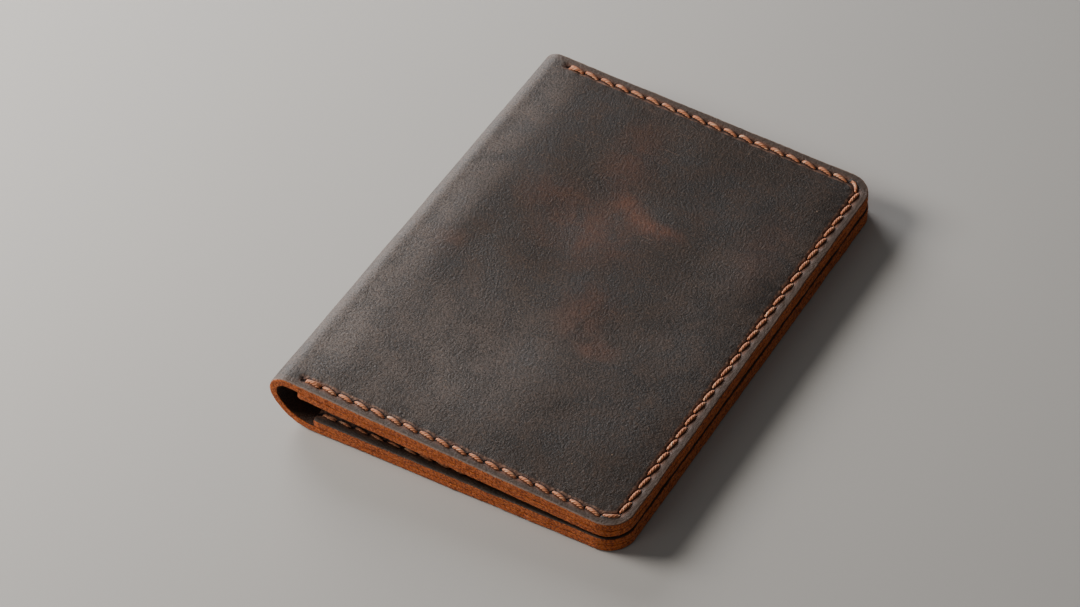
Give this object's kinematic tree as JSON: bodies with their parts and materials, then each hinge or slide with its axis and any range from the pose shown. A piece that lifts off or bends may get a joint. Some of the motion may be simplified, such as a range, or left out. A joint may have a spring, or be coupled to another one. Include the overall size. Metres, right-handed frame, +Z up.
{
  "type": "passport holder wallet",
  "caption": "Folded leather passport wallet: a cover that opens flat about its spine, with a sewn passport pocket inside each half and a card pocket.",
  "frame": {"origin": "centre of the closed wallet's footprint, on the surface that the back cover lies on", "axes": "+X from the folded spine to the open edges, +Y along the spine, +Z up out of the front cover"},
  "size_m": [0.102, 0.14, 0.0154],
  "materials": {
    "cover_leather": "dark brown pull-up leather with a waxy sheen",
    "pocket_leather": "the cover's dark brown leather, with raw rust-orange edges",
    "card_leather": "the same dark brown leather split thin, with raw edges",
    "waxed_thread": "waxed twisted copper-brown thread"
  },
  "bodies": {
    "back": {"back_cover": "cover_leather", "back_pocket": "pocket_leather", "back_seam_thread": "waxed_thread"},
    "spine_1": {"spine_lower": "cover_leather"},
    "spine_2": {"spine_middle": "cover_leather"},
    "spine_3": {"spine_upper": "cover_leather"},
    "front": {"front_cover": "cover_leather", "front_pocket": "pocket_leather", "card_pocket": "card_leather", "front_seam_thread": "waxed_thread", "card_seam_thread": "waxed_thread"}
  },
  "joints": [
    {"name": "fold_1", "type": "hinge", "parent": "back", "child": "spine_1", "pos_m": [-0.04285, 0, 0.0004], "axis": [0, -1, 0], "range_deg": [0, 35.62]},
    {"name": "fold_2", "type": "hinge", "parent": "spine_1", "child": "spine_2", "pos_m": [-0.0491, 0, 0.00488], "axis": [0, -1, 0], "range_deg": [0, 35.62]},
    {"name": "fold_3", "type": "hinge", "parent": "spine_2", "child": "spine_3", "pos_m": [-0.05115, 0, 0.01099], "axis": [0, -1, 0], "range_deg": [0, 56.13]},
    {"name": "fold_4", "type": "hinge", "parent": "spine_3", "child": "front", "pos_m": [-0.04799, 0, 0.01512], "axis": [0, -1, 0], "range_deg": [0, 56.13]}
  ]
}
